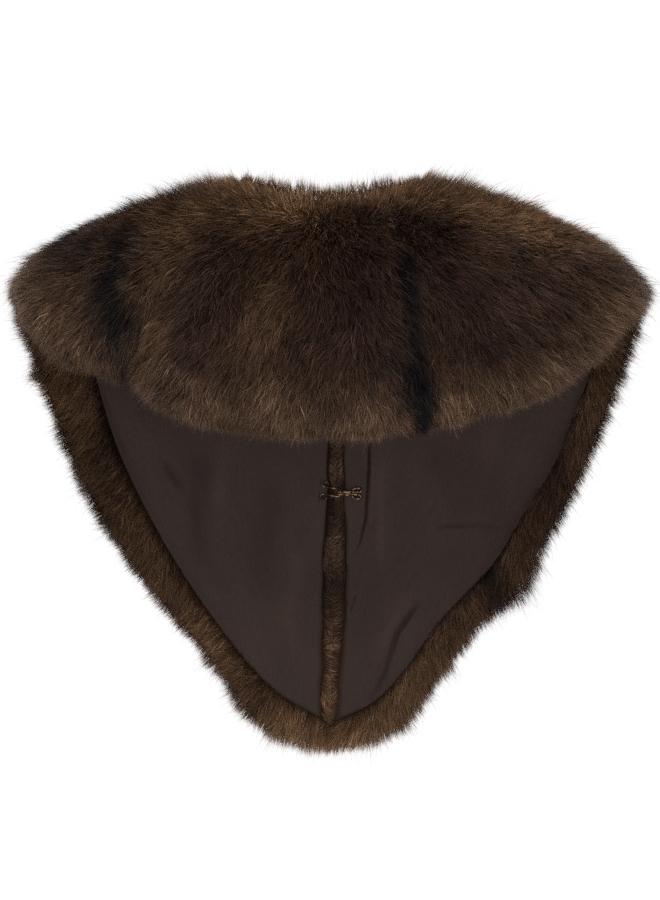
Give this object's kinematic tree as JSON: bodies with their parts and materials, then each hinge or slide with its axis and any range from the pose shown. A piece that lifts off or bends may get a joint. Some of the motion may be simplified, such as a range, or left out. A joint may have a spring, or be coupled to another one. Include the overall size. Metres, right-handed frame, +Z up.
{
  "type": "fur collar wrap",
  "caption": "Short fur collar wrap that covers neck, shoulders and chest, lined in satin, closed at the centre front by a wire hook and eye, filled out as worn.",
  "frame": {"origin": "centre of the neck opening, where the collar sits round the base of the wearer's neck", "axes": "+Z up, +X to the garment's right seen from behind, +Y out of the wearer's chest, so the back of the garment faces -Y"},
  "size_m": [0.4638, 0.2604, 0.4257],
  "materials": {
    "fur": "long dense brown pile with darker guard hairs",
    "lining": "dark brown satin twill, soft sheen",
    "hook_metal": "brown lacquered bronze wire"
  },
  "bodies": {
    "root": {"fur_back": "fur", "fur_front_left": "fur", "fur_front_right": "fur", "lining_back": "lining", "lining_front_left": "lining", "lining_front_right": "lining", "hook": "hook_metal", "eye": "hook_metal"}
  },
  "joints": []
}
